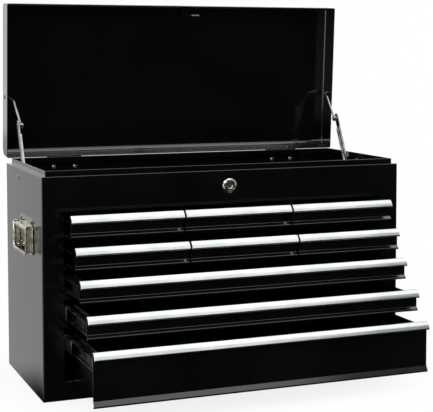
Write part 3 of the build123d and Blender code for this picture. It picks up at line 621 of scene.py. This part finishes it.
def studio_world():
    """Plain white to the camera. To reflections it is white behind and beside the chest and dark in
    front of it, so that the gloss black front stays black; to diffuse light it is even."""
    world = bpy.data.worlds.new("white_studio")
    bpy.context.scene.world = world
    world.use_nodes = True
    tree = world.node_tree
    tree.nodes.clear()
    sky = node(tree, "ShaderNodeTexCoord").outputs["Generated"]
    way = node(tree, "ShaderNodeSeparateXYZ", {"Vector": sky})
    ahead = node(
        tree,
        "ShaderNodeMapRange",
        {"Value": way.outputs["Y"], "From Min": -0.8, "From Max": -0.25, "To Min": 0.003, "To Max": 0.82},
        interpolation_type="SMOOTHSTEP",
    )
    path = node(tree, "ShaderNodeLightPath")
    seen = node(
        tree,
        "ShaderNodeMix",
        {"Factor": path.outputs["Is Glossy Ray"], "A": 0.75, "B": ahead.outputs["Result"]},
    )
    strength = node(
        tree,
        "ShaderNodeMix",
        {"Factor": path.outputs["Is Camera Ray"], "A": seen.outputs["Result"], "B": 1.0},
    )
    shade = node(tree, "ShaderNodeBackground", {"Color": WHITE, "Strength": strength.outputs["Result"]})
    node(tree, "ShaderNodeOutputWorld", {"Surface": shade.outputs["Background"]})


def studio_floor():
    """Pale floor that keeps the chest's shadow close to it and turns to plain white farther out. To
    reflections it shows a painted glow beside and behind the chest and is dark ahead of it."""
    mesh = bpy.data.meshes.new("studio_floor")
    reach, level = 6.0, -0.4 * MM
    mesh.from_pydata(
        [(-reach, -reach, level), (reach, -reach, level), (reach, reach, level), (-reach, reach, level)],
        [],
        [(0, 1, 2, 3)],
    )
    material = bpy.data.materials.new("studio_floor")
    material.use_nodes = True
    tree = material.node_tree
    tree.nodes.clear()
    matt = node(tree, "ShaderNodeBsdfDiffuse", {"Color": srgb("#fafafa")})
    ground = node(tree, "ShaderNodeTexCoord").outputs["Object"]
    place = node(tree, "ShaderNodeSeparateXYZ", {"Vector": ground})
    # Painted glow: seen in reflections, the floor emits light of its own, strong beside and behind the
    # chest and faint ahead of it, in place of floor lit by lamps.
    behind = node(
        tree,
        "ShaderNodeMapRange",
        {"Value": place.outputs["Y"], "From Min": -0.1, "From Max": 0.15, "To Min": 0.01, "To Max": 0.42},
        interpolation_type="SMOOTHSTEP",
    )
    beside = node(
        tree,
        "ShaderNodeMapRange",
        {
            "Value": place.outputs["X"],
            "From Min": -0.36,
            "From Max": -0.306,
            "To Min": 0.42,
            "To Max": 0.01,
        },
        interpolation_type="SMOOTHSTEP",
    )
    painted_glow_strength = node(
        tree,
        "ShaderNodeMath",
        {0: behind.outputs["Result"], 1: beside.outputs["Result"]},
        operation="MAXIMUM",
    )
    painted_floor_glow = node(tree, "ShaderNodeEmission", {"Color": WHITE, "Strength": painted_glow_strength.outputs["Value"]})
    white = node(tree, "ShaderNodeEmission", {"Color": WHITE, "Strength": 1.0})
    stretch = node(
        tree,
        "ShaderNodeMapping",
        {"Vector": ground, "Scale": (1.0, 1.6, 1.0)},
    )
    span = node(tree, "ShaderNodeVectorMath", {0: stretch.outputs["Vector"]}, operation="LENGTH")
    away = node(
        tree,
        "ShaderNodeMapRange",
        {
            "Value": span.outputs["Value"],
            "From Min": 0.33,
            "From Max": 0.62,
            "To Min": 0.85,
            "To Max": 1.0,
        },
        interpolation_type="SMOOTHSTEP",
    )
    path = node(tree, "ShaderNodeLightPath")
    lit = node(
        tree,
        "ShaderNodeMixShader",
        {0: away.outputs["Result"], 1: matt.outputs["BSDF"], 2: white.outputs["Emission"]},
    )
    shown = node(
        tree,
        "ShaderNodeMixShader",
        {0: path.outputs["Is Camera Ray"], 1: matt.outputs["BSDF"], 2: lit.outputs["Shader"]},
    )
    mix = node(
        tree,
        "ShaderNodeMixShader",
        # Glossy rays see the painted glow of the floor instead of its lit surface.
        {0: path.outputs["Is Glossy Ray"], 1: shown.outputs["Shader"], 2: painted_floor_glow.outputs["Emission"]},
    )
    node(tree, "ShaderNodeOutputMaterial", {"Surface": mix.outputs["Shader"]})
    mesh.materials.append(material)
    floor = bpy.data.objects.new("studio_floor", mesh)
    bpy.context.scene.collection.objects.link(floor)


def lamp(name, place, target, wide, deep, watts):
    """Rectangular soft box aimed at a point."""
    light = bpy.data.lights.new(name, "AREA")
    light.shape = "RECTANGLE"
    light.size = wide
    light.size_y = deep
    light.energy = watts
    made = bpy.data.objects.new(name, light)
    bpy.context.scene.collection.objects.link(made)
    made.location = place
    made.rotation_euler = (Vector(target) - Vector(place)).to_track_quat("-Z", "Y").to_euler()


studio_world()
studio_floor()
lamp("overhead_softbox", (0.65, -1.6, 2.6), (0.65, -1.6, 0.2), 2.3, 3.6, 33.0)
lamp("front_softbox", (-1.5, -2.3, 2.0), (0, 0, 0.3), 0.9, 0.9, 30.0)
lamp("left_card", (-1.9, -0.7, 0.35), (-0.3, -0.1, 0.25), 0.7, 1.0, 9.0)
lamp("left_softbox", (-2.4, 1.2, 1.2), (0, 0, 0.2), 1.4, 1.4, 6.0)

# ---- camera: the photograph's frame, focal length and picture centre in its pixels ----
FRAME_WIDE, FRAME_HIGH = 433, 412
CENTRE_X, CENTRE_Y = 241.27, 131.55
FOCAL_PX = 1232.418
AZIMUTH = math.radians(22.185)
ELEVATION = math.radians(3.740)
camera = bpy.data.cameras.new("camera")
camera.sensor_width = 36.0
camera.lens = FOCAL_PX / FRAME_WIDE * camera.sensor_width
camera.shift_x = (FRAME_WIDE / 2 - CENTRE_X) / FRAME_WIDE
camera.shift_y = -(FRAME_HIGH / 2 - CENTRE_Y) / FRAME_WIDE
camera.clip_end = 50.0
viewer = bpy.data.objects.new("camera", camera)
bpy.context.scene.collection.objects.link(viewer)
viewer.location = (-0.72337, -1.95231, 0.53487)
viewer.rotation_euler = (math.pi / 2 - ELEVATION, 0.0, -AZIMUTH)
bpy.context.scene.camera = viewer
bpy.context.scene.view_settings.view_transform = "Standard"
